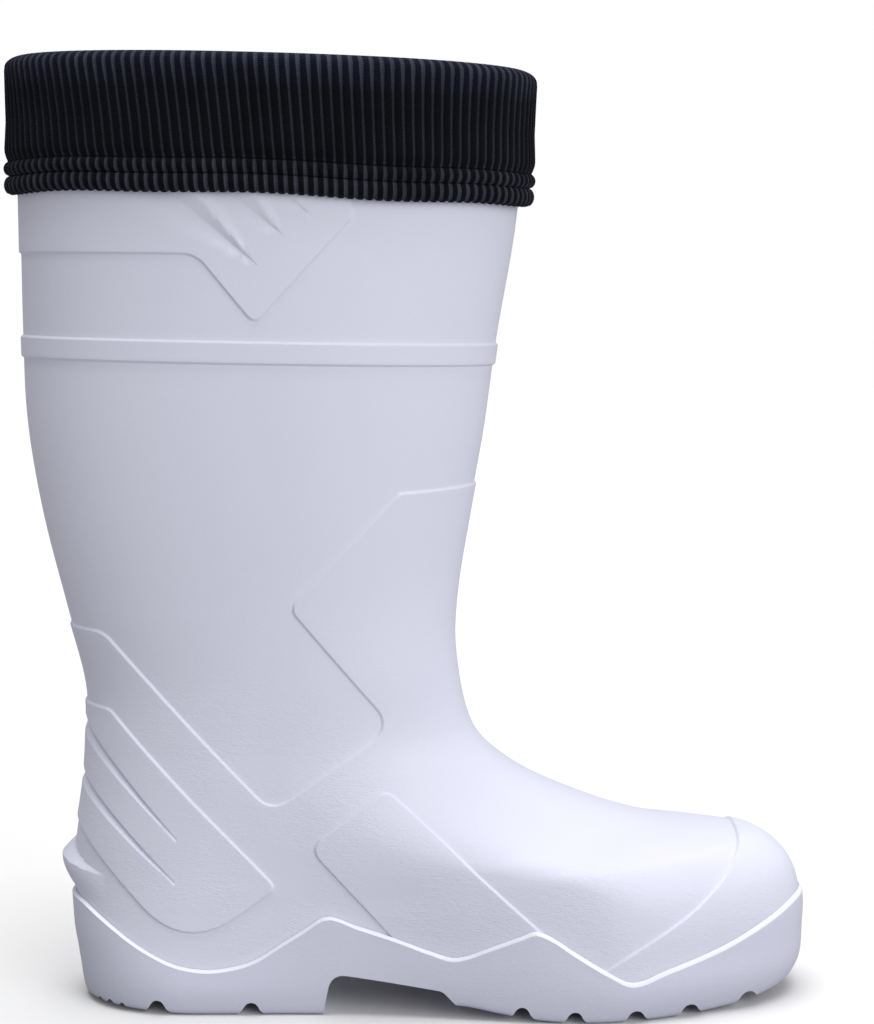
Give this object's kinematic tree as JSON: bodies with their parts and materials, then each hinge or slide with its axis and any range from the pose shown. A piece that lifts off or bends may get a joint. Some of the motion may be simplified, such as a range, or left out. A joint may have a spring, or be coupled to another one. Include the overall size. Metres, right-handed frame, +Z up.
{
  "type": "rubber work boot",
  "caption": "Calf-high moulded white work boot for the right foot, with stepped panels, a wavy-edged lugged cup sole, a kick-off ledge and a dark ribbed cuff turned down over the collar.",
  "frame": {"origin": "middle of the boot's footprint box, on the plane that the sole stands on", "axes": "+Z up, +X towards the toe, -Y towards the outer side of the foot"},
  "size_m": [0.3308, 0.1314, 0.3877],
  "materials": {
    "moulded_white": "matte moulded foam rubber with a fine leathery grain",
    "sole_white": "matte moulded rubber",
    "ribbed_knit": "ribbed knit with a napped surface",
    "insole_felt": "felted"
  },
  "bodies": {
    "root": {"outsole": "sole_white", "upper": "moulded_white", "insole": "insole_felt", "cuff": "ribbed_knit"}
  },
  "joints": []
}
